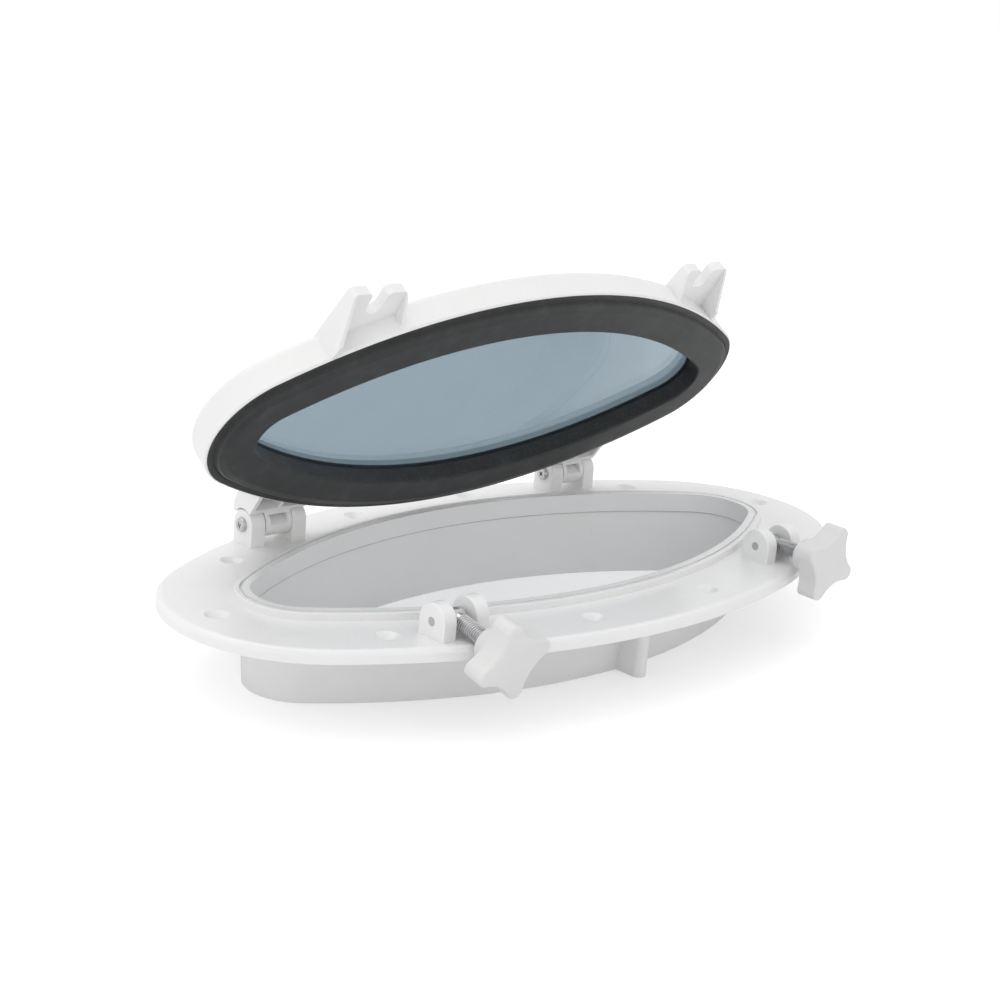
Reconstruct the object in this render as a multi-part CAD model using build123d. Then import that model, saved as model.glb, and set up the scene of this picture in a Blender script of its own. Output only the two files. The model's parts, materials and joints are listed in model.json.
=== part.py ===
"""Oval opening deck hatch: flanged frame, hinged glazed lid, two swing dogs with star knobs.

Frame: origin at the centre of the screw pattern on the flange's underside (the face that lies on
the deck), +X along the long axis, +Y towards the hinges, +Z out of the deck. Millimetres.
The lid is modelled closed and turned open about the hinge axis at the end.
"""
import os
from math import asin, cos, degrees, hypot, radians, sin, sqrt

from build123d import *

# ---- driving dimensions -------------------------------------------------------------------------
# oval outlines: half length, half width, radius of the end arcs
FLANGE_OVAL = (200.0, 106.0, 70.0)
RIM_OVAL = (167.0, 71.5, 31.0)
LID_OVAL = (167.7, 75.75, 38.8)

FLANGE_T = 6.0           # flange thickness
FLANGE_EDGE_R = 2.9      # rounding of the flange's upper edge
RIM_H = 3.5              # sealing rim above the flange
RIM_IN = 7.0             # rim width, from its foot to the opening
RIM_LAND = 2.2           # outer land before the groove
GROOVE_W = 1.3
GROOVE_D = 1.2
BAND_Z = -0.7            # lower end of the smooth band inside the opening
BAND_STEP = 0.7          # the wall below the band stands back by this much
SPIGOT_D = 34.5          # spigot depth under the deck face
SPIGOT_TOP = 2.5         # spigot outside, inset from the rim's foot, at the flange and at its end
SPIGOT_END = 5.0
SPIGOT_WALL_END = 10.0   # inside of the wall at the spigot's end, inset from the rim's foot
WALL_TOP = RIM_IN - BAND_STEP

HOLE_INSET = 17.5        # screw line, inset from the flange's edge
HOLE_X = (38.5, 135.0)   # the two rows of four holes
HOLE_R = 2.6
SINK_R = 5.6             # countersink mouth
SINK_DEPTH = 3.0

BOSS_X = 6.0             # drain boss on the outside of the spigot
BOSS_W = 7.5
BOSS_OUT = 81.0          # furthest reach from the long axis

HINGE_X = 101.0
HINGE_Y = 73.9
HINGE_Z = 16.0
HINGE_EAR_R = 7.4
HINGE_EAR_T = 8.4
HINGE_GAP = 16.0
HINGE_PIN_R = 3.0
RUN = 0.05               # radial clearance of a running fit
KNUCKLE_R = 7.2
KNUCKLE_W = 15.2
SCREW_HEAD_R = 3.6
SCREW_HEAD_H = 2.0
SCREW_R = 2.0            # M4
SCREW_L = 9.0

DOG_X = 108.0
DOG_Y = -68.8
DOG_Z = 13.5
DOG_EAR_R = 8.3
DOG_EAR_T = 7.4
DOG_GAP = 11.4
DOG_PIN_R = 2.1
STUD_R = 3.95            # M8
STUD_L = 30.4            # from the pin to the stud's tip
EYE_W = 7.8              # width over the stud's cross-drilled end
EYE_EDGE = 0.7
DROP = {"left": 12.0, "right": 1.0}    # how far each dog points below level, degrees

KNOB_AT = {"left": 21.4, "right": 18.8}    # washer's inner face along the stud, from the pin
WASHER_T = 0.8           # lengths from here on are from the washer's inner face
WASHER_R = 6.6
HUB_AT = 0.9
STAR_AT = 8.6
STAR_FACE = 19.4
HUB_R = 8.4
HUB_EDGE_R = 1.4
STAR_R = 19.3
ARM_TIP_R = 4.2
STAR_CORE_R = 12.2
STAR_EDGE_R = 1.2
INSERT_AT = 2.2
INSERT_END = 13.6
INSERT_R = 6.0
KNOB_HOLE_END = 16.2
STAR_TURN = {"left": 16.5, "right": -25.0}   # seen from in front, anticlockwise

LID_OPEN = 54.4          # opening angle at rest, degrees
LID_WALL = -1.0          # outside of the lid, from the gasket's edge
LID_Z0 = 13.5            # lower edge of the lid frame, lid closed
LID_Z1 = 29.4            # top of the lid frame
LID_TOP_R = 3.4
LID_FOOT_R = 0.9
GLASS_Z0 = 19.2
GLASS_Z1 = 24.7
GLASS_SEAT = 13.5        # frame rebate, from the gasket's edge
SEAL_T = 1.0
LID_LIP = 22.8           # opening of the frame above the glass
GASKET_LIP_Z = 13.1      # flat lip round the gasket's edge
GASKET_LIP_W = 3.2
GASKET_VALLEY = 0.7      # width of the line between the lip and the crown
GASKET_SIDE = (5.4, 10.7)    # crown: inset and height where its side turns over
GASKET_TOP = (9.0, 9.8)      # crown: inset and height of the sealing face
GASKET_IN = 22.5
GASKET_IN_CHAMFER = 0.8

LUG_HALF_TIP = 15.0      # catch lug, half width at the horns and at the lid
LUG_HALF_ROOT = 19.5
LUG_TIP_Y = -75.8
LUG_TOP = 28.9
LUG_PLATE_Z = 23.6
LUG_GUSSET = 1.8
SLOT_R = 4.4
SLOT_Y = -67.6           # centre of the slot's round end
BRACKET_HALF = 16.6      # hinge bracket on the lid
BRACKET_PLATE = 2.2
BRACKET_FOOT = 15.3      # underside of the bracket
BRACKET_FOOT_Y = 66.7
BRACKET_REAR = ((66.0, 28.6), (70.6, 27.7), (73.4, 25.4))    # rounded rear end
BRACKET_WEB = 2.4
EAR_CLEAR = 0.8          # between the bracket and the ears it turns round

FRAME_TOP = FLANGE_T + RIM_H
EAR_ROOT_Z = 3.0         # the ears start inside the flange
EAR_EDGE_R = 0.7
RIM_EDGE_R = 0.5


# ---- outlines -----------------------------------------------------------------------------------
def arcs(oval):
    """End-arc centre x, side-arc centre depth and side-arc radius of a four-arc oval."""
    half_l, half_w, end_r = oval
    end_x = half_l - end_r
    side_r = (end_x**2 + half_w**2 - end_r**2) / (2 * (half_w - end_r))
    return end_x, side_r - half_w, side_r


def oval_face(oval, inset=0.0):
    """Face bounded by the oval moved inwards by a constant inset."""
    end_x, side_y, side_r = arcs(oval)
    end_r = oval[2] - inset
    side = side_r - inset
    reach = hypot(end_x, side_y)
    join_x = end_x + end_r * end_x / reach
    join_y = end_r * side_y / reach
    corners = [(join_x, join_y), (-join_x, join_y), (-join_x, -join_y), (join_x, -join_y)]
    middles = [(0, side - side_y), (-end_x - end_r, 0), (0, side_y - side), (end_x + end_r, 0)]
    edges = [ThreePointArc(corners[i], middles[i], corners[(i + 1) % 4]) for i in range(4)]
    return make_face(Wire(edges))


def edge_y(oval, x, inset=0.0):
    """Half width of the oval at x, on its side arcs."""
    _, side_y, side_r = arcs(oval)
    return sqrt((side_r - inset) ** 2 - x * x) - side_y


def slab(oval, inset, low, high):
    return extrude(Pos(0, 0, low) * oval_face(oval, inset), high - low)


def ring(oval, outer, inner, low, high):
    return slab(oval, outer, low, high) - slab(oval, inner, low, high)


def tapered(oval, top_inset, end_inset, top, end):
    """Solid between two insets of one oval at two heights."""
    faces = [Pos(0, 0, end) * oval_face(oval, end_inset), Pos(0, 0, top) * oval_face(oval, top_inset)]
    return loft(faces, ruled=True)


def rod(radius, x0, x1, y=0.0, z=0.0):
    """Cylinder along X."""
    return Pos((x0 + x1) / 2, y, z) * Rot(0, 90, 0) * Cylinder(radius, x1 - x0)


def block(x0, x1, y0, y1, z0, z1):
    return Pos((x0 + x1) / 2, (y0 + y1) / 2, (z0 + z1) / 2) * Box(x1 - x0, y1 - y0, z1 - z0)


def prism(points, x0, x1):
    """Extrusion along X of a (y, z) outline."""
    outline = make_face(Polyline([(0, y, z) for y, z in points], close=True))
    return Pos(x0, 0, 0) * extrude(outline, x1 - x0, dir=(1, 0, 0))


# ---- frame --------------------------------------------------------------------------------------
def flange():
    plate = slab(FLANGE_OVAL, 0, 0, FLANGE_T)
    top_edges = plate.edges().filter_by_position(Axis.Z, FLANGE_T - 0.01, FLANGE_T + 0.01)
    return fillet(top_edges, FLANGE_EDGE_R)


def screw_places():
    rows = [(sx * x, sy * edge_y(FLANGE_OVAL, x, HOLE_INSET)) for x in HOLE_X for sx in (-1, 1) for sy in (-1, 1)]
    end = FLANGE_OVAL[0] - HOLE_INSET
    return rows + [(-end, 0), (end, 0)]


def screw_hole(x, y):
    shank = Pos(x, y, FLANGE_T / 2) * Cylinder(HOLE_R, FLANGE_T + 2)
    sink = Pos(x, y, FLANGE_T - SINK_DEPTH / 2) * Cone(HOLE_R, SINK_R, SINK_DEPTH)
    return shank + sink


def ear_pair(middle_x, y, z, radius, thick, gap):
    """Two ears with round tops and softened edges, rooted in the flange."""
    ears = []
    for x0 in (middle_x - gap / 2 - thick, middle_x + gap / 2):
        ear = block(x0, x0 + thick, y - radius, y + radius, EAR_ROOT_Z, z) + rod(radius, x0, x0 + thick, y, z)
        sides = ear.faces().sort_by(Axis.X)
        ears.append(fillet(sides[0].edges() + sides[-1].edges(), EAR_EDGE_R))
    return ears


def hinge_ears(side):
    return ear_pair(side * HINGE_X, HINGE_Y, HINGE_Z, HINGE_EAR_R, HINGE_EAR_T, HINGE_GAP)


def dog_ears(side):
    return ear_pair(side * DOG_X, DOG_Y, DOG_Z, DOG_EAR_R, DOG_EAR_T, DOG_GAP)


def boss(y_sign):
    """Rounded boss down the outside of the spigot."""
    nose_y = BOSS_OUT - BOSS_W / 2
    web = block(BOSS_X - BOSS_W / 2, BOSS_X + BOSS_W / 2, 0, nose_y, -SPIGOT_D, 0)
    nose = Pos(BOSS_X, nose_y, -SPIGOT_D / 2) * Cylinder(BOSS_W / 2, SPIGOT_D)
    whole = web + nose
    return whole if y_sign > 0 else mirror(whole, Plane.XZ)


def main_frame():
    rim = slab(RIM_OVAL, 0, 0, FRAME_TOP)
    rim = fillet(rim.edges().filter_by_position(Axis.Z, FRAME_TOP - 0.01, FRAME_TOP + 0.01), RIM_EDGE_R)
    body = flange() + rim
    body += tapered(RIM_OVAL, SPIGOT_TOP, SPIGOT_END, 0, -SPIGOT_D)
    for sign in (1, -1):
        body += boss(sign)
        for ear in hinge_ears(sign) + dog_ears(sign):
            body += ear
    body -= slab(RIM_OVAL, RIM_IN, BAND_Z, FRAME_TOP)
    body -= tapered(RIM_OVAL, WALL_TOP, SPIGOT_WALL_END, BAND_Z, -SPIGOT_D)
    body -= ring(RIM_OVAL, RIM_LAND, RIM_LAND + GROOVE_W, FRAME_TOP - GROOVE_D, FRAME_TOP)
    for x, y in screw_places():
        body -= screw_hole(x, y)
    for sign in (-1, 1):
        hinge_half = HINGE_GAP / 2 + HINGE_EAR_T
        dog_half = DOG_GAP / 2 + DOG_EAR_T
        body -= rod(HINGE_PIN_R, sign * HINGE_X - hinge_half, sign * HINGE_X + hinge_half, HINGE_Y, HINGE_Z)
        body -= rod(DOG_PIN_R, sign * DOG_X - dog_half, sign * DOG_X + dog_half, DOG_Y, DOG_Z)
    return body


# ---- hinge hardware -----------------------------------------------------------------------------
def hinge_barrel(side):
    """Sleeve nut that the lid turns on, tapped at both ends."""
    half = HINGE_GAP / 2 + HINGE_EAR_T
    x = side * HINGE_X
    return rod(HINGE_PIN_R, x - half, x + half, HINGE_Y, HINGE_Z) - rod(SCREW_R, x - half, x + half, HINGE_Y, HINGE_Z)


def hinge_screw(side, end):
    """Pan-head screw with a cross recess, driven into one end of the sleeve."""
    half = HINGE_GAP / 2 + HINGE_EAR_T
    shank = rod(SCREW_R, half - SCREW_L, half)
    head = rod(SCREW_HEAD_R, half, half + SCREW_HEAD_H)
    rim = head.faces().sort_by(Axis.X)[-1].edges()
    head = fillet(rim, SCREW_HEAD_H * 0.6)
    top = half + SCREW_HEAD_H
    screw = shank + head - block(top - 1.1, top, -2.0, 2.0, -0.45, 0.45) - block(top - 1.1, top, -0.45, 0.45, -2.0, 2.0)
    if end < 0:
        screw = mirror(screw, Plane.YZ)
    return Pos(side * HINGE_X, HINGE_Y, HINGE_Z) * screw


# ---- dogs (built with the pin on the X axis and the stud along -Y) --------------------------------
def along(radius, start, end):
    """Cylinder along the stud, between two distances from the pin."""
    return Pos(0, -(start + end) / 2, 0) * Rot(90, 0, 0) * Cylinder(radius, end - start)


def swing_bolt():
    """Stud with a rounded, flattened end that is drilled across for the pin."""
    eye = rod(STUD_R, -EYE_W / 2, EYE_W / 2)
    eye = chamfer(eye.edges().filter_by(GeomType.CIRCLE), EYE_EDGE)
    bolt = eye + along(STUD_R, 0, STUD_L)
    bolt = chamfer(bolt.faces().sort_by(Axis.Y)[0].edges(), 0.8)
    return bolt - rod(DOG_PIN_R + RUN, -EYE_W, EYE_W)


def swing_pin(side):
    half = DOG_GAP / 2 + DOG_EAR_T
    x = side * DOG_X
    return rod(DOG_PIN_R, x - half, x + half, DOG_Y, DOG_Z)


def star_profile():
    """Four blunt arms joined by hollow arcs that touch the arms' round tips."""
    reach = STAR_R - ARM_TIP_R
    rise = STAR_CORE_R - ARM_TIP_R
    far = (reach**2 - rise**2) / (sqrt(2) * reach - 2 * rise)
    hollow_r = far - STAR_CORE_R
    edges = []
    for turn in range(4):
        tip = Vector(reach, 0).rotate(Axis.Z, 90 * turn)
        out = tip.normalized()
        before = Vector(far, 0).rotate(Axis.Z, 90 * turn - 45)
        after = Vector(far, 0).rotate(Axis.Z, 90 * turn + 45)
        start = tip + (before - tip).normalized() * ARM_TIP_R
        end = tip + (after - tip).normalized() * ARM_TIP_R
        valley = after.normalized() * (far - hollow_r)
        next_tip = Vector(reach, 0).rotate(Axis.Z, 90 * turn + 90)
        next_start = next_tip + (after - next_tip).normalized() * ARM_TIP_R
        edges += [ThreePointArc(start, tip + out * ARM_TIP_R, end), ThreePointArc(end, valley, next_start)]
    return make_face(Wire(edges))


def knob_body():
    star = extrude(star_profile(), STAR_FACE - STAR_AT)
    star = fillet(star.faces().sort_by(Axis.Z)[-1].edges(), STAR_EDGE_R)
    star = Rot(90, 0, 0) * star
    star = Pos(0, -STAR_AT, 0) * star
    hub = along(HUB_R, HUB_AT, STAR_AT)
    hub = fillet(hub.faces().sort_by(Axis.Y)[-1].edges(), HUB_EDGE_R)
    knob = star + hub
    knob -= along(INSERT_R, INSERT_AT, INSERT_END)
    return knob - along(STUD_R + 0.5, HUB_AT - 1, KNOB_HOLE_END)


def knob_insert():
    return along(INSERT_R, INSERT_AT, INSERT_END) - along(STUD_R + RUN, INSERT_AT - 1, INSERT_END + 1)


def knob_washer():
    return along(WASHER_R, 0, WASHER_T) - along(STUD_R + 0.09, -1, HUB_AT)


def place_dog(shape, side, name, out=0.0):
    """From the pin's own place to the dog's, moved out along the stud and dropped."""
    return Pos(side * DOG_X, DOG_Y, DOG_Z) * Rot(DROP[name], 0, 0) * Pos(0, -out, 0) * shape


def turn_star(shape, name):
    return Rot(0, -STAR_TURN[name], 0) * shape


# ---- lid (built closed) ---------------------------------------------------------------------------
def lid_ring():
    wall = slab(LID_OVAL, LID_WALL, LID_Z0, LID_Z1)
    edges = wall.edges()
    wall = fillet(edges.filter_by_position(Axis.Z, LID_Z1 - 0.01, LID_Z1 + 0.01), LID_TOP_R)
    wall = fillet(wall.edges().filter_by_position(Axis.Z, LID_Z0 - 0.01, LID_Z0 + 0.01), LID_FOOT_R)
    wall -= slab(LID_OVAL, GLASS_SEAT, LID_Z0, GLASS_Z1)
    return wall


def lid_window():
    """Opening above the glass, with a sloping edge."""
    slope = 1.6
    straight = slab(LID_OVAL, LID_LIP, LID_Z0, LID_Z1)
    return straight + tapered(LID_OVAL, LID_LIP - slope, LID_LIP, LID_Z1, LID_Z1 - slope)


def catch_lug(side):
    """Slotted plate on two gussets that hooks under the knob's washer."""
    root_y = -edge_y(LID_OVAL, DOG_X, LID_WALL) + 14
    outline = [(-LUG_HALF_TIP, LUG_TIP_Y), (LUG_HALF_TIP, LUG_TIP_Y), (LUG_HALF_ROOT, root_y),
               (-LUG_HALF_ROOT, root_y)]
    plan = make_face(Polyline(outline, close=True))
    horns = plan.vertices().filter_by_position(Axis.Y, LUG_TIP_Y - 0.1, LUG_TIP_Y + 0.1)
    plan = fillet(horns, 2.5)
    plan -= Pos(0, SLOT_Y) * Circle(SLOT_R) + Pos(0, SLOT_Y - 10) * Rectangle(2 * SLOT_R, 20)
    mouth = plan.vertices().filter_by_position(Axis.Y, LUG_TIP_Y - 0.1, LUG_TIP_Y + 0.1).sort_by(Axis.X)
    plan = fillet(mouth[1:3], 2.8)
    height = LUG_TOP - LID_Z0
    lug = extrude(Pos(0, 0, LID_Z0) * plan, height)
    inner = [(-LUG_HALF_TIP + LUG_GUSSET, LUG_TIP_Y - 5), (LUG_HALF_TIP - LUG_GUSSET, LUG_TIP_Y - 5),
             (LUG_HALF_ROOT - LUG_GUSSET - 0.8, root_y + 1), (-LUG_HALF_ROOT + LUG_GUSSET + 0.8, root_y + 1)]
    pocket = extrude(Pos(0, 0, LID_Z0 - 1) * make_face(Polyline(inner, close=True)), LUG_PLATE_Z - LID_Z0 + 1)
    slope = prism([(LUG_TIP_Y - 1, LID_Z0 - 1), (LUG_TIP_Y - 1, LUG_PLATE_Z), (LUG_TIP_Y, LUG_PLATE_Z),
                   (root_y - 12, LID_Z0 + 0.6), (root_y - 12, LID_Z0 - 1)], -30, 30)
    return Pos(side * DOG_X, 0, 0) * (lug - pocket - slope)


def hinge_bracket(side):
    """Ribbed bracket from the lid's wall over the ears, with the knuckle hanging under it."""
    root_y = edge_y(LID_OVAL, HINGE_X, LID_WALL) - 12
    high = BRACKET_REAR[0][1]
    rear_y = BRACKET_REAR[-1][0]
    outline = [(root_y, BRACKET_FOOT), (root_y, high), *BRACKET_REAR, (rear_y, HINGE_Z),
               (BRACKET_FOOT_Y, BRACKET_FOOT)]
    round_ears = rod(HINGE_EAR_R + EAR_CLEAR, -BRACKET_HALF - 1, BRACKET_HALF + 1, HINGE_Y, HINGE_Z)
    shell = prism(outline, -BRACKET_HALF, BRACKET_HALF) - round_ears
    bay = (2 * BRACKET_HALF - 3 * BRACKET_PLATE) / 2
    web_y = BRACKET_FOOT_Y - BRACKET_WEB - 0.9
    for x0 in (-BRACKET_HALF + BRACKET_PLATE, BRACKET_PLATE / 2):
        shell -= prism([(root_y - 1, BRACKET_FOOT - 1), (root_y - 1, high - BRACKET_WEB),
                        (BRACKET_REAR[0][0] - 2, high - BRACKET_WEB), (web_y, 20.0),
                        (web_y, BRACKET_FOOT - 1)], x0, x0 + bay)
    half = KNUCKLE_W / 2
    knuckle = rod(KNUCKLE_R, -half, half, HINGE_Y, HINGE_Z)
    neck = prism([(BRACKET_FOOT_Y - 1.2, BRACKET_FOOT), (BRACKET_FOOT_Y - 1.2, 22.0), (rear_y - 3, 26.0),
                  (rear_y, 25.2), (rear_y, HINGE_Z), (BRACKET_FOOT_Y + 1, HINGE_Z - 2)], -half, half)
    hollow = prism([(BRACKET_FOOT_Y + 0.2, 6.0), (BRACKET_FOOT_Y + 0.2, 19.0), (HINGE_Y - 3.9, 22.4),
                    (HINGE_Y - 3.9, 6.0)], -half + 2.6, half - 2.6)
    return Pos(side * HINGE_X, 0, 0) * (shell + knuckle + neck - hollow)


def lid_frame():
    body = lid_ring()
    for sign in (-1, 1):
        body += catch_lug(sign)
        body += hinge_bracket(sign)
    body -= slab(LID_OVAL, GLASS_SEAT, LID_Z0 - 2, GLASS_Z1)
    body -= lid_window()
    for sign in (-1, 1):
        x = sign * HINGE_X
        body -= rod(HINGE_PIN_R + RUN, x - KNUCKLE_W, x + KNUCKLE_W, HINGE_Y, HINGE_Z)
    return body


def lid_glass():
    pane = slab(LID_OVAL, GLASS_SEAT + SEAL_T, GLASS_Z0, GLASS_Z1)
    return pane


def glass_sealant():
    return ring(LID_OVAL, GLASS_SEAT, GLASS_SEAT + SEAL_T, GLASS_Z0, GLASS_Z1)


def lid_gasket():
    """Sealing band under the lid frame: flat lip, crown, and a leg that holds the glass from below."""
    side_in, side_z = GASKET_SIDE
    top_in, top_z = GASKET_TOP
    crown_in = GASKET_LIP_W + GASKET_VALLEY
    band = slab(LID_OVAL, 0, GASKET_LIP_Z, LID_Z0)
    band += tapered(LID_OVAL, crown_in, side_in, LID_Z0, side_z)
    band += tapered(LID_OVAL, side_in, top_in, side_z, top_z)
    band += slab(LID_OVAL, GLASS_SEAT, LID_Z0 - 1, GLASS_Z0)
    band -= ring(LID_OVAL, GASKET_LIP_W, crown_in, GASKET_LIP_Z, GASKET_LIP_Z + 0.25)
    band -= slab(LID_OVAL, GASKET_IN, top_z, GLASS_Z0)
    slope = GASKET_IN_CHAMFER
    return band - tapered(LID_OVAL, GASKET_IN, GASKET_IN - slope, top_z + slope, top_z)


def opened(shape):
    """The closed lid turned open about the hinge axis."""
    return Pos(0, HINGE_Y, HINGE_Z) * Rot(-LID_OPEN, 0, 0) * Pos(0, -HINGE_Y, -HINGE_Z) * shape


# ---- assembly -------------------------------------------------------------------------------------
def build():
    nodes = {"main_frame": main_frame()}
    nodes["lid_frame"] = opened(lid_frame())
    nodes["lid_glass"] = opened(lid_glass())
    nodes["glass_sealant"] = opened(glass_sealant())
    nodes["lid_gasket"] = opened(lid_gasket())
    bolt, knob, insert, washer = swing_bolt(), knob_body(), knob_insert(), knob_washer()
    for name, side in (("left", -1), ("right", 1)):
        nodes[f"hinge_barrel_{name}"] = hinge_barrel(side)
        nodes[f"hinge_screw_{name}_outer"] = hinge_screw(side, side)
        nodes[f"hinge_screw_{name}_inner"] = hinge_screw(side, -side)
        nodes[f"swing_pin_{name}"] = swing_pin(side)
        nodes[f"swing_bolt_{name}"] = place_dog(bolt, side, name)
        out = KNOB_AT[name]
        nodes[f"knob_washer_{name}"] = place_dog(washer, side, name, out)
        nodes[f"knob_insert_{name}"] = place_dog(insert, side, name, out)
        nodes[f"knob_{name}"] = place_dog(turn_star(knob, name), side, name, out)
    return nodes


os.makedirs("parts", exist_ok=True)
for node, shape in build().items():
    shape.label = node
    export_step(shape, f"parts/{node}.step")
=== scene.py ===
# %% [markdown]
# Oval opening deck hatch.
# The hatch is a white moulded frame with a hinged, glazed lid and two swing dogs with star knobs.
# The CAD model gives every size and every pivot. This file gives the pieces their finish, and models
# again those that need finer shape than a plain solid has: threads, screw heads, the rubber seal.

# %% Load the fixed frame
import json
from math import atan2, cos, degrees, pi, radians, sin, tan

import bmesh
import bpy
from mathutils import Matrix, Vector


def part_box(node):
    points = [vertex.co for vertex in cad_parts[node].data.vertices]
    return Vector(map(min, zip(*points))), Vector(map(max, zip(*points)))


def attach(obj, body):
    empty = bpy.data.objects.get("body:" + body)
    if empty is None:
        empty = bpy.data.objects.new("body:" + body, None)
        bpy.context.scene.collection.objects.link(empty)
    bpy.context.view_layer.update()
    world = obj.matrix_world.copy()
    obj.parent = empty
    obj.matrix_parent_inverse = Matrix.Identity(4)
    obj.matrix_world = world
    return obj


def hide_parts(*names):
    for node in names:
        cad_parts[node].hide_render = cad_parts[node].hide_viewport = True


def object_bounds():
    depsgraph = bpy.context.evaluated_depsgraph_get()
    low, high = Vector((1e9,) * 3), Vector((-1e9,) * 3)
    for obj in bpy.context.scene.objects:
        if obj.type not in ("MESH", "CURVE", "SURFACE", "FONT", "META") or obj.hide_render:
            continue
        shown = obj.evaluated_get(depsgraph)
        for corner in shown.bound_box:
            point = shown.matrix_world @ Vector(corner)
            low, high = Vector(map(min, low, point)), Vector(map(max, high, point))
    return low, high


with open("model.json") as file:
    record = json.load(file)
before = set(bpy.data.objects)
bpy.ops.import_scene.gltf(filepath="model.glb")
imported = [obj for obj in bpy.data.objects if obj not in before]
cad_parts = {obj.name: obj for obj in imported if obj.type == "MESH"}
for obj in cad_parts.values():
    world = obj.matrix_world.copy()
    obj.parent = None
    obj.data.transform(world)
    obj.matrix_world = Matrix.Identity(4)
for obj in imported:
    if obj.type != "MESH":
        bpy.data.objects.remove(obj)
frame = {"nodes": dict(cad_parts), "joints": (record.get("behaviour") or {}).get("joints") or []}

MM = 0.001
cad_low, cad_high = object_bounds()
print("CAD box, mm:", [round(v / MM, 1) for v in (*cad_low, *cad_high)])

# %% [markdown]
# ## The camera
# The camera stands in front of the hatch and to its left, a little above the flange, with a long
# lens, so the two ends of the hatch look nearly the same size. It is tilted a few degrees.

# %% Camera
CAMERA_AZIMUTH = -44.4
CAMERA_ELEVATION = 16.1
CAMERA_ROLL = 5.0
CAMERA_DISTANCE = 908 * MM
AIM_RIGHT, AIM_DOWN = 11.3 * MM, 30.8 * MM
LENS = 65.9


def photographer():
    """Camera that looks a little past the hatch's origin, rolled a few degrees to one side."""
    azimuth, elevation, roll = map(radians, (CAMERA_AZIMUTH, CAMERA_ELEVATION, CAMERA_ROLL))
    back = Vector((sin(azimuth) * cos(elevation), -cos(azimuth) * cos(elevation), sin(elevation)))
    level = Vector((cos(azimuth), sin(azimuth), 0))
    rise = back.cross(level)
    right = level * cos(roll) + rise * sin(roll)
    up = back.cross(right)
    data = bpy.data.cameras.new("camera")
    data.lens = LENS
    data.clip_start = 0.01
    camera = bpy.data.objects.new("camera", data)
    bpy.context.scene.collection.objects.link(camera)
    spot = back * CAMERA_DISTANCE - right * AIM_RIGHT + up * AIM_DOWN
    camera.matrix_world = Matrix.Translation(spot) @ Matrix((right, up, back)).transposed().to_4x4()
    bpy.context.scene.camera = camera
    return camera


camera = photographer()
print("camera at, mm:", [round(v / MM) for v in camera.matrix_world.translation])


# %% [markdown]
# ## The studio
# A seamless paper sweep has no edge in sight, so a wide plane and a white surround stand in for it.
# The surround does most of the work. Two softboxes only add gloss, from the left and from above.

# %% Floor and lights
def drop_selection():
    if bpy.context.object and bpy.context.object.mode != "OBJECT":
        bpy.ops.object.mode_set(mode="OBJECT")
    bpy.ops.object.select_all(action="DESELECT")


PAPER = (0.93, 0.93, 0.935)
PAPER_LIFT = 0.28
LIT_FROM = Vector((-0.75, 0.35, 0.56))
FLOOR_SIZE = 60.0


def studio_floor():
    drop_selection()
    bpy.ops.mesh.primitive_plane_add(size=FLOOR_SIZE, location=(0, 0, cad_low.z))
    floor = bpy.context.object
    floor.name = "studio_floor"
    paper = bpy.data.materials.new("studio_paper")
    paper.use_nodes = True
    shader = paper.node_tree.nodes["Principled BSDF"]
    shader.inputs["Base Color"].default_value = (*PAPER, 1)
    shader.inputs["Roughness"].default_value = 0.9
    shader.inputs["Emission Color"].default_value = (1, 1, 1, 1)
    seen = paper.node_tree.nodes.new("ShaderNodeLightPath").outputs["Is Camera Ray"]
    lift = paper.node_tree.nodes.new("ShaderNodeMath")
    lift.operation = "MULTIPLY"
    lift.inputs[1].default_value = PAPER_LIFT
    paper.node_tree.links.new(seen, lift.inputs[0])
    paper.node_tree.links.new(lift.outputs[0], shader.inputs["Emission Strength"])
    floor.data.materials.append(paper)
    return floor


def softbox(name, place, aim, size, power):
    data = bpy.data.lights.new(name, "AREA")
    data.shape = "RECTANGLE"
    data.size, data.size_y = size
    data.energy = power
    lamp = bpy.data.objects.new(name, data)
    bpy.context.scene.collection.objects.link(lamp)
    lamp.location = place
    lamp.rotation_euler = (Vector(aim) - Vector(place)).to_track_quat("-Z", "Y").to_euler()
    return lamp


def surround(dim, bright):
    """Even air, brighter to the left, behind and above. Seen directly it is plain white."""
    world = bpy.data.worlds.new("studio_air")
    bpy.context.scene.world = world
    world.use_nodes = True
    tree = world.node_tree
    aim = tree.nodes.new("ShaderNodeVectorMath")
    aim.operation = "DOT_PRODUCT"
    aim.inputs[1].default_value = LIT_FROM.normalized()
    level = tree.nodes.new("ShaderNodeMapRange")
    for label, value in (("From Min", -1), ("From Max", 1), ("To Min", dim), ("To Max", bright)):
        level.inputs[label].default_value = value
    seen = tree.nodes.new("ShaderNodeMix")
    seen.inputs["B"].default_value = 1.0
    path = tree.nodes.new("ShaderNodeLightPath")
    air = tree.nodes["Background"]
    air.inputs["Color"].default_value = (1, 1, 1, 1)
    tree.links.new(tree.nodes.new("ShaderNodeTexCoord").outputs["Generated"], aim.inputs[0])
    tree.links.new(aim.outputs["Value"], level.inputs["Value"])
    tree.links.new(level.outputs["Result"], seen.inputs["A"])
    tree.links.new(path.outputs["Is Camera Ray"], seen.inputs["Factor"])
    tree.links.new(seen.outputs["Result"], air.inputs["Strength"])


studio_floor()
surround(dim=0.86, bright=0.98)
softbox("left_softbox", place=(-1.7, -0.1, 0.9), aim=(0, 0, 0.03), size=(1.2, 1.2), power=1)
softbox("top_softbox", place=(-0.3, 0.6, 1.7), aim=(0, 0, 0), size=(1.6, 1.2), power=5)
bpy.context.scene.view_settings.view_transform = "Standard"
print("studio ready")

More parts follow.
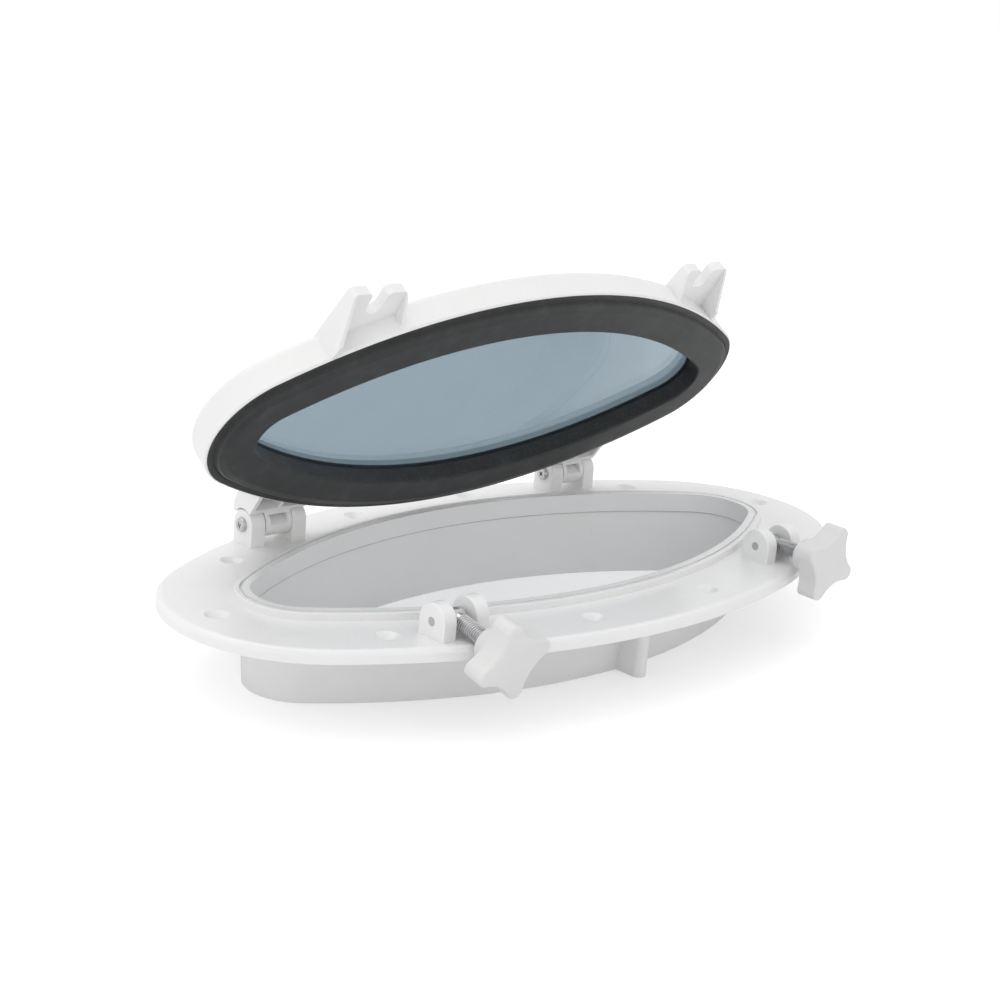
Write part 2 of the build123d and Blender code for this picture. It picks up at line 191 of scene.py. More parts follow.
# %% [markdown]
# ## Shared effects
# Moulded plastic is never one even colour. Its skin copies the mould's fine grain, it dulls a little
# in patches where hands and cloths have been, and dust settles on what looks upwards. Each effect
# is a node group that puts out plain values, so every material can use it at its own scale.

# %% Node helpers
def new_group(name, inputs, outputs):
    group = bpy.data.node_groups.new(name, "ShaderNodeTree")
    for label, value in inputs.items():
        socket = group.interface.new_socket(label, in_out="INPUT", socket_type="NodeSocketFloat")
        socket.default_value = value
    for label in outputs:
        group.interface.new_socket(label, in_out="OUTPUT", socket_type="NodeSocketFloat")
    return group, group.nodes.new("NodeGroupInput"), group.nodes.new("NodeGroupOutput")


def add_node(tree, kind, settings=None, **links):
    """A node with its settings. Inputs are given by name, or as i0, i1 where names repeat."""
    node = tree.nodes.new(kind)
    for key, value in (settings or {}).items():
        setattr(node, key, value)
    for key, value in links.items():
        socket = node.inputs[int(key[1:]) if key[1:].isdigit() else key.replace("_", " ")]
        if isinstance(value, bpy.types.NodeSocket):
            tree.links.new(value, socket)
        else:
            socket.default_value = value
    return node


def sums(tree, operation, a, b):
    return add_node(tree, "ShaderNodeMath", {"operation": operation}, i0=a, i1=b).outputs[0]


def spread(tree, value, low, high, to_low=0.0, to_high=1.0):
    """Map a value from one range to another, held at both ends."""
    settings = {"clamp": True}
    links = {"Value": value, "From_Min": low, "From_Max": high, "To_Min": to_low, "To_Max": to_high}
    return add_node(tree, "ShaderNodeMapRange", settings, **links).outputs["Result"]


def noise(tree, place, scale, detail, rough=0.5):
    links = {"Vector": place, "Scale": scale, "Detail": detail, "Roughness": rough}
    return add_node(tree, "ShaderNodeTexNoise", None, **links).outputs[0]


# %% Skin, marks and dust
GRAIN_SHARE, WAVE_SHARE = 0.25, 0.75
PATCH_SCALE, SPECK_SCALE = 26.0, 700.0
SCUFF_STRETCH, SCUFF_TURN = (900.0, 60.0, 300.0), (0.2, 0.5, 0.7)


def moulded_skin_group():
    """Fine grain and slow waviness of a moulded surface, as a height, and patches of duller skin."""
    group, given, out = new_group("moulded_skin", {"Grain": 1800.0, "Wave": 45.0}, ("Height", "Patch"))
    place = add_node(group, "ShaderNodeTexCoord").outputs["Object"]
    grain = noise(group, place, given.outputs["Grain"], 2.0)
    wave = noise(group, place, given.outputs["Wave"], 2.0)
    grain = sums(group, "MULTIPLY", grain, GRAIN_SHARE)
    wave = sums(group, "MULTIPLY", wave, WAVE_SHARE)
    height = sums(group, "ADD", grain, wave)
    patch = spread(group, noise(group, place, PATCH_SCALE, 5.0, 0.62), 0.38, 0.66)
    group.links.new(height, out.inputs["Height"])
    group.links.new(patch, out.inputs["Patch"])
    return group


def handling_group():
    """Smudges, and thin scuffs that run one way, as masks from 0 to 1."""
    group, given, out = new_group("handling_marks", {"Scale": 60.0, "Amount": 0.5}, ("Smudge", "Scuff"))
    place = add_node(group, "ShaderNodeTexCoord").outputs["Object"]
    cloud = noise(group, place, given.outputs["Scale"], 6.0, 0.6)
    smudge = sums(group, "MULTIPLY", spread(group, cloud, 0.5, 0.72), given.outputs["Amount"])
    turn = {"Vector": place, "Scale": SCUFF_STRETCH, "Rotation": SCUFF_TURN}
    lines = noise(group, add_node(group, "ShaderNodeMapping", None, **turn).outputs[0], 1.0, 2.0)
    scuff = sums(group, "MULTIPLY", spread(group, lines, 0.7, 0.78), smudge)
    group.links.new(smudge, out.inputs["Smudge"])
    group.links.new(scuff, out.inputs["Scuff"])
    return group


def dust_group():
    """Dust: more on faces that look up, broken up by fine noise."""
    group, given, out = new_group("settled_dust", {"Amount": 0.3}, ("Dust",))
    facing = add_node(group, "ShaderNodeNewGeometry").outputs["Normal"]
    up = add_node(group, "ShaderNodeSeparateXYZ", None, i0=facing)
    place = add_node(group, "ShaderNodeTexCoord").outputs["Object"]
    speck = spread(group, noise(group, place, SPECK_SCALE, 3.0), 0.45, 0.75)
    level = spread(group, up.outputs["Z"], 0.3, 1.0)
    dust = sums(group, "MULTIPLY", sums(group, "MULTIPLY", speck, level), given.outputs["Amount"])
    group.links.new(dust, out.inputs["Dust"])
    return group


SKIN, HANDLING, DUST = moulded_skin_group(), handling_group(), dust_group()
print("node groups:", [group.name for group in (SKIN, HANDLING, DUST)])

# %% [markdown]
# ## Finishes
# The frame and lid are glossy white ABS, moulded in a polished tool, so their skin is almost smooth.
# The knobs are moulded in a blasted tool and look softer. Rubber is charcoal with a bloom of grey,
# metal is turned stainless steel, and the glass has a blue-grey tint right through. Inside the
# frame's opening a little under the rim, a fine line of painted shade marks a small step's shadow.

# %% Building a finish
def place_group(tree, group, **values):
    node = tree.nodes.new("ShaderNodeGroup")
    node.node_tree = group
    for label, value in values.items():
        node.inputs[label].default_value = value
    return node


def blend_colour(tree, factor, a, b):
    mix = add_node(tree, "ShaderNodeMix", {"data_type": "RGBA"})
    for socket, value in ((mix.inputs[0], factor), (mix.inputs[6], a), (mix.inputs[7], b)):
        if isinstance(value, bpy.types.NodeSocket):
            tree.links.new(value, socket)
        elif isinstance(value, tuple):
            socket.default_value = (*value, 1)
        else:
            socket.default_value = value
    return mix.outputs[2]


def start_finish(name, **sockets):
    material = bpy.data.materials.new(name)
    material.use_nodes = True
    shader = material.node_tree.nodes["Principled BSDF"]
    for label, value in sockets.items():
        shader.inputs[label.replace("_", " ")].default_value = value
    return material, material.node_tree, shader


def raise_surface(tree, shader, height, distance):
    bump = add_node(tree, "ShaderNodeBump", None, Height=height, Distance=distance, Strength=1.0)
    tree.links.new(bump.outputs[0], shader.inputs["Normal"])


# %% White mouldings
LINE_CORE, LINE_EDGE = 0.1 * MM, 0.28 * MM
# STEP_SHADE_GREY is painted shade: the grey of the shadow line under a small step inside the opening.
SCUFF_GREY, DUST_GREY, STEP_SHADE_GREY = (0.62, 0.62, 0.61), (0.60, 0.58, 0.55), (0.52, 0.52, 0.52)


def shade_line_mask(tree, height):
    """A thin line all round at one height: 1 on the line, 0 elsewhere."""
    place = add_node(tree, "ShaderNodeTexCoord").outputs["Object"]
    level = add_node(tree, "ShaderNodeSeparateXYZ", None, i0=place).outputs["Z"]
    off = sums(tree, "ABSOLUTE", sums(tree, "SUBTRACT", level, height), 0.0)
    return spread(tree, off, LINE_CORE, LINE_EDGE, 1.0, 0.0)


def moulded_white(name, white, worn, rough, grain, wave, depth, dust, coat, shade_line_at=None):
    """White plastic with duller patches, smudges, scuffs, a trace of dust and, where asked, a painted shade
    line.
    """
    material, tree, shader = start_finish(name, IOR=1.52, Coat_Roughness=0.12)
    skin = place_group(tree, SKIN, Grain=grain, Wave=wave)
    marks = place_group(tree, HANDLING, Scale=55.0, Amount=0.6)
    settled = place_group(tree, DUST, Amount=dust)
    colour = blend_colour(tree, skin.outputs["Patch"], white, worn)
    colour = blend_colour(tree, marks.outputs["Scuff"], colour, SCUFF_GREY)
    colour = blend_colour(tree, settled.outputs["Dust"], colour, DUST_GREY)
    roughness = spread(tree, skin.outputs["Patch"], 0.0, 1.0, rough, rough + 0.1)
    roughness = sums(tree, "ADD", roughness, sums(tree, "MULTIPLY", marks.outputs["Smudge"], 0.12))
    tree.links.new(roughness, shader.inputs["Roughness"])
    gloss = spread(tree, marks.outputs["Smudge"], 0.0, 0.6, coat, coat * 0.3)
    tree.links.new(gloss, shader.inputs["Coat Weight"])
    height = skin.outputs["Height"]
    # Where asked, a grey line of painted shade is drawn at one height, where a step's shadow falls, and is
    # also pressed in as a shallow groove.
    if shade_line_at is not None:
        line = shade_line_mask(tree, shade_line_at)
        colour = blend_colour(tree, line, colour, STEP_SHADE_GREY)
        height = sums(tree, "SUBTRACT", height, line)
    tree.links.new(colour, shader.inputs["Base Color"])
    raise_surface(tree, shader, height, depth)
    return material


# Height of the painted shade line inside the opening, a little under the rim.
STEP_SHADE_Z = -0.6 * MM
ABS = {"white": (0.86, 0.86, 0.86), "worn": (0.84, 0.84, 0.835), "rough": 0.30, "grain": 1800.0,
       "wave": 45.0, "depth": 0.12 * MM, "dust": 0.10, "coat": 0.22}
KNOB = {"white": (0.74, 0.74, 0.735), "worn": (0.71, 0.71, 0.705), "rough": 0.40, "grain": 1300.0,
        "wave": 90.0, "depth": 0.10 * MM, "dust": 0.08, "coat": 0.05}
ACETAL = {"white": (0.74, 0.74, 0.72), "worn": (0.71, 0.71, 0.69), "rough": 0.45, "grain": 1500.0,
          "wave": 120.0, "depth": 0.06 * MM, "dust": 0.05, "coat": 0.0}
frame_white = moulded_white("white_abs", **ABS)
flange_white = moulded_white("white_abs_flange", **ABS, shade_line_at=STEP_SHADE_Z)
knob_white = moulded_white("white_knob", **KNOB)
washer_white = moulded_white("white_acetal", **ACETAL)
print("white finishes:", frame_white.name, knob_white.name, washer_white.name)

# %% Rubber and sealant
LEATHERY, RUBBER_WAVE, RUBBER_DEPTH = 900.0, 160.0, 0.12 * MM
RUBBER_DUST, CUT_BLACK, CUT_DEPTH = (0.30, 0.29, 0.28), (0.006, 0.006, 0.006), 1.5


def rubber(name, dark, bloom, rough, seam=False):
    """Charcoal rubber with a grey bloom in patches, and where asked the joint of the strip's ends."""
    material, tree, shader = start_finish(name, Sheen_Weight=0.08, Sheen_Roughness=0.4, IOR=1.5)
    skin = place_group(tree, SKIN, Grain=LEATHERY, Wave=RUBBER_WAVE)
    marks = place_group(tree, HANDLING, Scale=90.0, Amount=0.8)
    settled = place_group(tree, DUST, Amount=0.12)
    colour = blend_colour(tree, skin.outputs["Patch"], dark, bloom)
    colour = blend_colour(tree, marks.outputs["Smudge"], colour, tuple(1.5 * c for c in bloom))
    colour = blend_colour(tree, settled.outputs["Dust"], colour, RUBBER_DUST)
    height = skin.outputs["Height"]
    if seam:
        cut = seam_mask(tree)
        colour = blend_colour(tree, cut, colour, CUT_BLACK)
        height = sums(tree, "SUBTRACT", height, sums(tree, "MULTIPLY", cut, CUT_DEPTH))
    tree.links.new(colour, shader.inputs["Base Color"])
    roughness = spread(tree, skin.outputs["Patch"], 0.0, 1.0, rough, rough + 0.12)
    tree.links.new(roughness, shader.inputs["Roughness"])
    raise_surface(tree, shader, height, RUBBER_DEPTH)
    return material


SEAM_X, SEAM_Z = -1.8 * MM, 21.9 * MM
SEAM_LEAN = 0.57
SEAM_HALF = 0.16 * MM
HINGE_SIDE_TOP = 60 * MM


def seam_mask(tree):
    """A thin slanted line across the strip on the hinge side: 1 in the cut, 0 elsewhere."""
    point = add_node(tree, "ShaderNodeTexCoord").outputs["Object"]
    place = add_node(tree, "ShaderNodeSeparateXYZ", None, i0=point)
    lean = sums(tree, "MULTIPLY", sums(tree, "SUBTRACT", place.outputs["Z"], SEAM_Z), SEAM_LEAN)
    middle = sums(tree, "ADD", lean, SEAM_X)
    across = sums(tree, "ABSOLUTE", sums(tree, "SUBTRACT", place.outputs["X"], middle), 0.0)
    line = spread(tree, across, SEAM_HALF * 0.6, SEAM_HALF * 1.4, 1.0, 0.0)
    low_side = spread(tree, place.outputs["Z"], HINGE_SIDE_TOP, HINGE_SIDE_TOP + MM, 1.0, 0.0)
    return sums(tree, "MULTIPLY", line, low_side)


gasket_rubber = rubber("black_rubber", (0.017, 0.018, 0.019), (0.025, 0.026, 0.027), 0.48, seam=True)
bedding = rubber("sealant", (0.04, 0.04, 0.04), (0.06, 0.06, 0.06), 0.6)
print("rubber finishes:", gasket_rubber.name, bedding.name)


# %% Metal
RING_SCALE, RING_STRETCH, RING_DEPTH = 500.0, (1.0, 9.0, 9.0), 0.02 * MM


def turned_metal(name, colour, dull, rough):
    """Metal with the fine rings of the tool that turned it, and faint tarnish in patches."""
    material, tree, shader = start_finish(name, Metallic=1.0)
    skin = place_group(tree, SKIN, Grain=2400.0, Wave=200.0)
    marks = place_group(tree, HANDLING, Scale=200.0, Amount=0.5)
    place = add_node(tree, "ShaderNodeTexCoord").outputs["Object"]
    drawn = add_node(tree, "ShaderNodeMapping", None, Vector=place, Scale=RING_STRETCH).outputs[0]
    rings = noise(tree, drawn, RING_SCALE, 2.0)
    tint = blend_colour(tree, skin.outputs["Patch"], colour, dull)
    tree.links.new(tint, shader.inputs["Base Color"])
    roughness = spread(tree, rings, 0.3, 0.7, rough * 0.7, rough * 1.4)
    roughness = sums(tree, "ADD", roughness, sums(tree, "MULTIPLY", marks.outputs["Smudge"], 0.1))
    tree.links.new(roughness, shader.inputs["Roughness"])
    raise_surface(tree, shader, rings, RING_DEPTH)
    return material


stainless = turned_metal("stainless", (0.60, 0.60, 0.61), (0.50, 0.50, 0.51), 0.2)
brass = turned_metal("brass", (0.72, 0.53, 0.25), (0.60, 0.43, 0.20), 0.28)
print("metals:", stainless.name, brass.name)


# %% Tinted glass
TINT, TINT_DEEPER = (0.305, 0.395, 0.455), (0.297, 0.386, 0.447)
POLISHED, SMEARED = 0.01, 0.05


def tinted_glass():
    """Clear right through but for its tint. The faces are polished, with the least trace of smears."""
    material, tree, shader = start_finish("tinted_glass", IOR=1.5, Transmission_Weight=1.0, Metallic=0.0)
    skin = place_group(tree, SKIN, Grain=300.0, Wave=30.0)
    marks = place_group(tree, HANDLING, Scale=24.0, Amount=0.5)
    tint = blend_colour(tree, skin.outputs["Patch"], TINT, TINT_DEEPER)
    tree.links.new(tint, shader.inputs["Base Color"])
    roughness = sums(tree, "MULTIPLY", marks.outputs["Smudge"], SMEARED)
    tree.links.new(sums(tree, "ADD", roughness, POLISHED), shader.inputs["Roughness"])
    return material


glass = tinted_glass()
print("glass:", glass.name)

# %% [markdown]
# ## Finishes on the CAD pieces
# Frame, lid, knobs, pins and washers already have their true shape, so they only take a finish.
# Their edges are smoothed by angle: round walls shade round, and corners stay crisp. Normals are
# weighted by area, so a large flat beside a small fillet still shades flat.

# %% Dress the CAD pieces
SMOOTH_ANGLE = radians(32)
FINISH_OF = {"main_frame": flange_white, "lid_frame": frame_white, "knob_left": knob_white,
             "knob_right": knob_white, "knob_washer": washer_white, "knob_insert": brass,
             "hinge_barrel": stainless, "swing_pin": stainless, "glass_sealant": bedding}


def dress(piece, finish):
    piece.data.materials.clear()
    piece.data.materials.append(finish)


def smooth_by_angle(piece, angle):
    drop_selection()
    piece.select_set(True)
    bpy.context.view_layer.objects.active = piece
    bpy.ops.object.shade_smooth_by_angle(angle=angle)
    even = piece.modifiers.new("even_flats", "WEIGHTED_NORMAL")
    even.keep_sharp = True


dressed = []
for node, piece in frame["nodes"].items():
    finish = next((FINISH_OF[key] for key in FINISH_OF if node.startswith(key)), None)
    if finish:
        dress(piece, finish)
        smooth_by_angle(piece, SMOOTH_ANGLE)
        dressed.append(node)
print("dressed:", len(dressed), "pieces")

# %% [markdown]
# ## Where the lid and the dogs are
# The lid's own pieces are easiest to model shut, level with the frame, and then turned open about
# the hinge. The dogs are modelled with the stud along -Y and the pin at the origin, and then
# dropped into place. Both places come from the frame's joints, so they always agree with it.

# %% Places from the joints
JOINTS = {joint["name"]: joint for joint in frame["joints"]}


def lid_opening():
    """Turn from shut to the lid's resting place."""
    hinge = JOINTS["lid_hinge"]
    pivot = Matrix.Translation(Vector(hinge["pos_m"]))
    turn = Matrix.Rotation(radians(-hinge["range_deg"][0]), 4, Vector(hinge["axis"]))
    return pivot @ turn @ pivot.inverted()


def dog_place(side):
    """From the dog's own axes to its resting place."""
    pin = Vector(JOINTS["dog_swing_" + side]["pos_m"])
    along = Vector(JOINTS["knob_travel_" + side]["axis"])
    return Matrix.Translation(pin) @ Matrix.Rotation(atan2(-along.z, -along.y), 4, "X")


def settle(piece, place, body, finish):
    """Put a finished piece in its place for good: its own axes at the origin, its place in its mesh."""
    drop_selection()
    piece.select_set(True)
    bpy.context.view_layer.objects.active = piece
    piece.matrix_world = place @ piece.matrix_world
    bpy.ops.object.transform_apply(location=True, rotation=True, scale=True)
    dress(piece, finish)
    smooth_by_angle(piece, SMOOTH_ANGLE)
    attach(piece, body)
    return piece


OPENING = lid_opening()
print("lid opens, degrees:", round(degrees(OPENING.to_euler().x), 1))

# %% [markdown]
# ## The lid's seal
# The real seal is one moulded strip: a thin lip flush with the lid's edge, a line, and a soft crown
# that meets the frame's rim. Its outline is an oval of four arcs, so its section is drawn once and
# spun about the four arc centres in turn. Nothing else keeps the section the same all round.

# %% The four-arc oval
LID_HALF_LENGTH, LID_HALF_WIDTH, LID_END_R = 167.7 * MM, 75.75 * MM, 38.8 * MM
LID_END_X = LID_HALF_LENGTH - LID_END_R
LID_SIDE_R = (LID_END_X**2 + LID_HALF_WIDTH**2 - LID_END_R**2) / (2 * (LID_HALF_WIDTH - LID_END_R))
LID_SIDE_Y = LID_SIDE_R - LID_HALF_WIDTH
END_ARC = atan2(LID_SIDE_Y, LID_END_X)
SIDE_ARC = pi - 2 * END_ARC
END_STEPS, SIDE_STEPS = 22, 44


def wire(name, points, closed):
    """An open or closed line of points as a mesh, in edit mode with all of it selected."""
    drop_selection()
    bpy.ops.mesh.primitive_plane_add(size=MM)
    piece = bpy.context.object
    piece.name = name
    bpy.ops.object.mode_set(mode="EDIT")
    bpy.ops.mesh.select_all(action="SELECT")
    bpy.ops.mesh.delete(type="VERT")
    edit = bmesh.from_edit_mesh(piece.data)
    dots = [edit.verts.new(point) for point in points]
    pairs = list(zip(dots, dots[1:])) + ([(dots[-1], dots[0])] if closed else [])
    for a, b in pairs:
        edit.edges.new((a, b))
    edit.select_mode = {"VERT"}
    bmesh.update_edit_mesh(piece.data)
    bpy.ops.mesh.select_all(action="SELECT")
    return piece


def spin_oval():
    """Spin what is selected once round the oval, arc by arc, and close it."""
    turns = [(LID_END_X, 0, END_ARC, END_STEPS), (0, -LID_SIDE_Y, SIDE_ARC, SIDE_STEPS),
             (-LID_END_X, 0, 2 * END_ARC, 2 * END_STEPS), (0, LID_SIDE_Y, SIDE_ARC, SIDE_STEPS),
             (LID_END_X, 0, END_ARC, END_STEPS)]
    for x, y, angle, steps in turns:
        bpy.ops.mesh.spin(steps=steps, angle=SPIN_SENSE * angle, center=(x, y, 0), axis=(0, 0, 1))
    bpy.ops.mesh.select_all(action="SELECT")
    bpy.ops.mesh.remove_doubles(threshold=0.002 * MM)


def outward(piece):
    bpy.ops.mesh.select_all(action="SELECT")
    bpy.ops.mesh.normals_make_consistent(inside=False)
    bpy.ops.object.mode_set(mode="OBJECT")
    return piece


def spin_sense():
    """Which way a positive spin turns here: +1 for anticlockwise seen from above."""
    probe = wire("probe", [(MM, 0, 0)], False)
    bpy.ops.mesh.spin(steps=1, angle=radians(90), center=(0, 0, 0), axis=(0, 0, 1))
    bpy.ops.object.mode_set(mode="OBJECT")
    sense = 1 if max(v.co.y for v in probe.data.vertices) > 0.5 * MM else -1
    bpy.data.objects.remove(probe)
    return sense


SPIN_SENSE = spin_sense()
print("oval arcs, degrees:", round(degrees(END_ARC), 1), round(degrees(SIDE_ARC), 1), "sense", SPIN_SENSE)

# %% Section of the seal
# Corners as (inset from the oval, height, rounding), in millimetres, lid shut.
SEAL_SECTION = [(0.0, 13.5, 0.0), (0.0, 13.1, 0.3), (2.9, 13.1, 0.5), (3.3, 13.5, 0.25), (3.7, 13.1, 0.3),
                (4.4, 10.9, 1.6), (8.2, 9.82, 3.5), (22.5, 9.82, 1.1), (22.5, 19.2, 0.2), (13.5, 19.2, 0.2),
                (13.5, 13.5, 0.0)]
ARC_POINTS = 5


def round_corners(corners):
    """The section's outline with each corner replaced by an arc of its rounding."""
    outline = []
    for i, (x, z, radius) in enumerate(corners):
        here = Vector((x, z))
        if not radius:
            outline.append(here)
            continue
        before = (Vector(corners[i - 1][:2]) - here).normalized()
        after = (Vector(corners[(i + 1) % len(corners)][:2]) - here).normalized()
        half = before.angle(after) / 2
        reach = radius / tan(half)
        middle = here + (before + after).normalized() * radius / sin(half)
        start, end = here + before * reach - middle, here + after * reach - middle
        sweep = start.angle_signed(end)
        for step in range(ARC_POINTS + 1):
            turned = Matrix.Rotation(-sweep * step / ARC_POINTS, 2) @ start
            outline.append(middle + turned)
    return outline


def lid_seal():
    points = [((LID_HALF_LENGTH - p.x * MM), 0, p.y * MM) for p in round_corners(SEAL_SECTION)]
    piece = wire("lid_seal", points, True)
    spin_oval()
    return outward(piece)


seal = settle(lid_seal(), OPENING, "lid", gasket_rubber)
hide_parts("lid_gasket")
print("seal:", len(seal.data.polygons), "faces")

# %% [markdown]
# ## The pane
# The pane is toughened glass with ground edges. Its outline is spun from a single point, filled,
# raised to the glass's thickness, and its sharp edges are bevelled as a grinder leaves them.

# %% Pane
PANE_INSET, PANE_LOW, PANE_THICK = 14.52 * MM, 19.21 * MM, 5.48 * MM
PANE_ARRIS = 0.5 * MM


def lid_pane():
    piece = wire("lid_pane", [(LID_HALF_LENGTH - PANE_INSET, 0, PANE_LOW)], False)
    spin_oval()
    bpy.ops.mesh.edge_face_add()
    move = {"value": (0, 0, PANE_THICK)}
    bpy.ops.mesh.extrude_region_move(TRANSFORM_OT_translate=move)
    outward(piece)
    arris = piece.modifiers.new("arris", "BEVEL")
    arris.width = PANE_ARRIS
    arris.segments = 2
    arris.limit_method = "ANGLE"
    bpy.ops.object.modifier_apply(modifier="arris")
    return piece


pane = settle(lid_pane(), OPENING, "lid", glass)
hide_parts("lid_glass")
print("pane:", [round(v / MM, 1) for v in pane.dimensions])

# %% [markdown]
# ## Swing bolts
# Each dog is an M8 stud with a real thread, cross-drilled at its inner end for the pin. One turn of
# a saw-tooth line with a screw modifier gives the whole thread, because each tooth runs into the
# next. The ends are drawn flat and closed, and the drilled end is a bevelled cylinder cut by a bore.

# %% Threaded stud
STUD_CREST, STUD_ROOT, STUD_PITCH = 3.93 * MM, 3.28 * MM, 1.25 * MM
STUD_FROM, STUD_TO = 3.6 * MM, 28.6 * MM
STUD_TIP, STUD_TIP_R = 30.4 * MM, 3.1 * MM
STUD_STEPS = 40
CREST_SHARE, ROOT_SHARE = 0.14, 0.2


def close_end(piece, low, y_flat, radius_scale, y_end):
    """Draw one open end of the thread down to a flat ring, run it out to the tip, and close it."""
    edit = bmesh.from_edit_mesh(piece.data)
    edit.select_mode = {"EDGE"}
    bpy.ops.mesh.select_all(action="DESELECT")
    for edge in edit.edges:
        middle = (edge.verts[0].co.y + edge.verts[1].co.y) / 2
        edge.select_set(edge.is_boundary and (middle < low if y_end < y_flat else middle > low))
    bmesh.update_edit_mesh(piece.data)
    bpy.ops.mesh.extrude_edges_move()
    bpy.ops.transform.resize(value=(1, 0, 1), center_override=(0, y_flat, 0))
    bpy.ops.transform.resize(value=(radius_scale, 1, radius_scale), center_override=(0, y_flat, 0))
    bpy.ops.mesh.extrude_edges_move(TRANSFORM_OT_translate={"value": (0, y_end - y_flat, 0)})
    bpy.ops.mesh.edge_face_add()


def threaded_stud():
    teeth = round((STUD_TO - STUD_FROM) / STUD_PITCH)
    points = []
    for tooth in range(teeth):
        y = -STUD_FROM - tooth * STUD_PITCH
        crest, root = CREST_SHARE * STUD_PITCH, ROOT_SHARE * STUD_PITCH
        slope = (STUD_PITCH - crest - root) / 2
        points += [(STUD_ROOT, y, 0), (STUD_ROOT, y - root, 0), (STUD_CREST, y - root - slope, 0),
                   (STUD_CREST, y - root - slope - crest, 0)]
    points.append((STUD_ROOT, -STUD_FROM - teeth * STUD_PITCH, 0))
    piece = wire("stud", points, False)
    bpy.ops.object.mode_set(mode="OBJECT")
    thread = piece.modifiers.new("thread", "SCREW")
    thread.axis = "Y"
    thread.angle = 2 * pi
    thread.screw_offset = -STUD_PITCH
    thread.steps = thread.render_steps = STUD_STEPS
    thread.use_merge_vertices = True
    thread.merge_threshold = 0.005 * MM
    bpy.ops.object.modifier_apply(modifier="thread")
    bpy.ops.object.mode_set(mode="EDIT")
    bpy.ops.mesh.select_all(action="SELECT")
    bpy.ops.mesh.remove_doubles(threshold=0.005 * MM)
    middle = -(STUD_FROM + STUD_TO) / 2
    close_end(piece, middle, -STUD_TO - STUD_PITCH, STUD_TIP_R / STUD_ROOT, -STUD_TIP)
    close_end(piece, middle, -STUD_FROM, 1.0, -0.5 * STUD_FROM)
    return outward(piece)


stud = threaded_stud()
print("stud:", len(stud.data.polygons), "faces,", [round(v / MM, 1) for v in stud.dimensions])

# %% Drilled end and the two swing bolts
EYE_R, EYE_WIDTH, EYE_EDGE = 3.95 * MM, 7.8 * MM, 0.7 * MM
PIN_BORE = 2.15 * MM
ROUND_STEPS = 48


def cylinder_on_x(name, radius, length, steps=ROUND_STEPS):
    drop_selection()
    lie_down = (0, radians(90), 0)
    bpy.ops.mesh.primitive_cylinder_add(vertices=steps, radius=radius, depth=length, rotation=lie_down)
    piece = bpy.context.object
    piece.name = name
    bpy.ops.object.transform_apply(location=True, rotation=True, scale=True)
    return piece


def bevel_edges(piece, width, segments, angle=30):
    bpy.context.view_layer.objects.active = piece
    soft = piece.modifiers.new("soft", "BEVEL")
    soft.width = width
    soft.segments = segments
    soft.limit_method = "ANGLE"
    soft.angle_limit = radians(angle)
    bpy.ops.object.modifier_apply(modifier="soft")


def cut_away(piece, cutter):
    """Take the cutter's shape out of the piece, and remove the cutter."""
    bpy.context.view_layer.objects.active = piece
    cut = piece.modifiers.new("cut", "BOOLEAN")
    cut.object = cutter
    cut.solver = "EXACT"
    bpy.ops.object.modifier_apply(modifier="cut")
    bpy.data.objects.remove(cutter)


def drilled_eye():
    eye = cylinder_on_x("eye", EYE_R, EYE_WIDTH)
    bevel_edges(eye, EYE_EDGE, 3)
    cut_away(eye, cylinder_on_x("bore", PIN_BORE, 2 * EYE_WIDTH))
    return eye


def join_pieces(name, pieces):
    drop_selection()
    for piece in pieces:
        piece.select_set(True)
    bpy.context.view_layer.objects.active = pieces[0]
    if len(pieces) > 1:
        bpy.ops.object.join()
    joined = bpy.context.object
    joined.name = name
    return joined


def own_copy(piece, name):
    copy = piece.copy()
    copy.data = piece.data.copy()
    copy.name = name
    bpy.context.scene.collection.objects.link(copy)
    return copy


bolt = join_pieces("swing_bolt_right_threaded", [stud, drilled_eye()])
bolts = {"right": bolt, "left": own_copy(bolt, "swing_bolt_left_threaded")}
for side, piece in bolts.items():
    settle(piece, dog_place(side), "dog_" + side, stainless)
    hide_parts("swing_bolt_" + side)
print("swing bolts:", [piece.name for piece in bolts.values()])

# %% [markdown]
# ## Hinge screws
# Pan-head machine screws close the hinge sleeves. The head is a low dome with a cross recess that
# narrows as it goes in. It is made from a cylinder bevelled to a dome, cut by two tapered blades,
# and modelled once, then copied to the four sleeve ends.

# %% Pan-head screw
HEAD_R, HEAD_H, SHANK_R, SHANK_L = 3.6 * MM, 2.0 * MM, 1.97 * MM, 9.0 * MM
DOME_WIDTH, SHANK_EDGE, SHANK_OVERLAP = 0.62 * HEAD_H, 0.3 * MM, 0.05 * MM
RECESS_REACH, RECESS_WIDTH, RECESS_DEPTH = 2.1 * MM, 0.95 * MM, 1.5 * MM
RECESS_TAPER = 0.45
RECESS_TURNS = (radians(20), radians(110))
INNER_TURN = 0.6


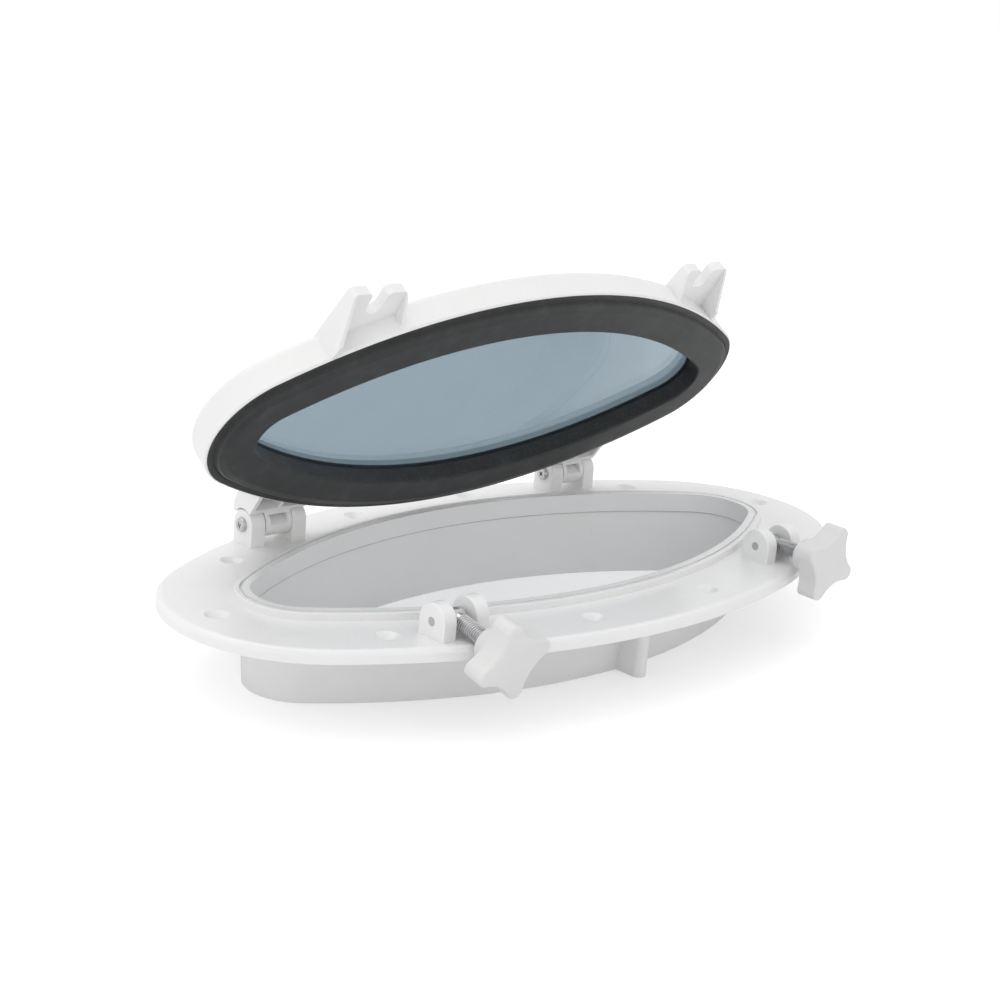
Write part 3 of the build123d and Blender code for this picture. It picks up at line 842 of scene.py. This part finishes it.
def recess_blade(turn):
    """Blade of the cross recess, narrower at its inner end."""
    drop_selection()
    bpy.ops.mesh.primitive_cube_add(size=1, location=(HEAD_H, 0, 0), rotation=(turn, 0, 0),
                                    scale=(2 * RECESS_DEPTH, 2 * RECESS_REACH, RECESS_WIDTH))
    blade = bpy.context.object
    bpy.ops.object.transform_apply(location=True, rotation=True, scale=True)
    bpy.ops.object.mode_set(mode="EDIT")
    edit = bmesh.from_edit_mesh(blade.data)
    bpy.ops.mesh.select_all(action="DESELECT")
    for vert in edit.verts:
        vert.select_set(vert.co.x < HEAD_H)
    bmesh.update_edit_mesh(blade.data)
    bpy.ops.transform.resize(value=(1, RECESS_TAPER, RECESS_TAPER), center_override=(0, 0, 0))
    bpy.ops.object.mode_set(mode="OBJECT")
    return blade


def pan_screw():
    """Screw along +X: the head's seat at the origin, the shank behind it."""
    head = cylinder_on_x("head", HEAD_R, 2 * HEAD_H)
    bevel_edges(head, DOME_WIDTH, 7)
    drop_selection()
    head.select_set(True)
    bpy.context.view_layer.objects.active = head
    bpy.ops.object.mode_set(mode="EDIT")
    bpy.ops.mesh.select_all(action="SELECT")
    bpy.ops.mesh.bisect(plane_co=(0, 0, 0), plane_no=(1, 0, 0), clear_inner=True, use_fill=True)
    outward(head)
    for turn in RECESS_TURNS:
        cut_away(head, recess_blade(turn))
    shank = cylinder_on_x("shank", SHANK_R, SHANK_L, 32)
    shank.location.x = SHANK_OVERLAP - SHANK_L / 2
    bevel_edges(shank, SHANK_EDGE, 2)
    return join_pieces("pan_screw", [head, shank])


master = pan_screw()
for side in ("left", "right"):
    for end in ("outer", "inner"):
        node = f"hinge_screw_{side}_{end}"
        low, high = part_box(node)
        points_left = (side == "left") == (end == "outer")
        middle = (low + high) / 2
        seat = Vector((low.x + HEAD_H if points_left else high.x - HEAD_H, middle.y, middle.z))
        about_face = Matrix.Rotation(pi if points_left else 0, 4, "Z")
        driven = Matrix.Rotation(INNER_TURN if end == "inner" else 0, 4, "X")
        place = Matrix.Translation(seat) @ about_face @ driven
        screw = settle(own_copy(master, node + "_cross"), place, "frame", stainless)
        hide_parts(node)
bpy.data.objects.remove(master)
print("hinge screws placed: 4")
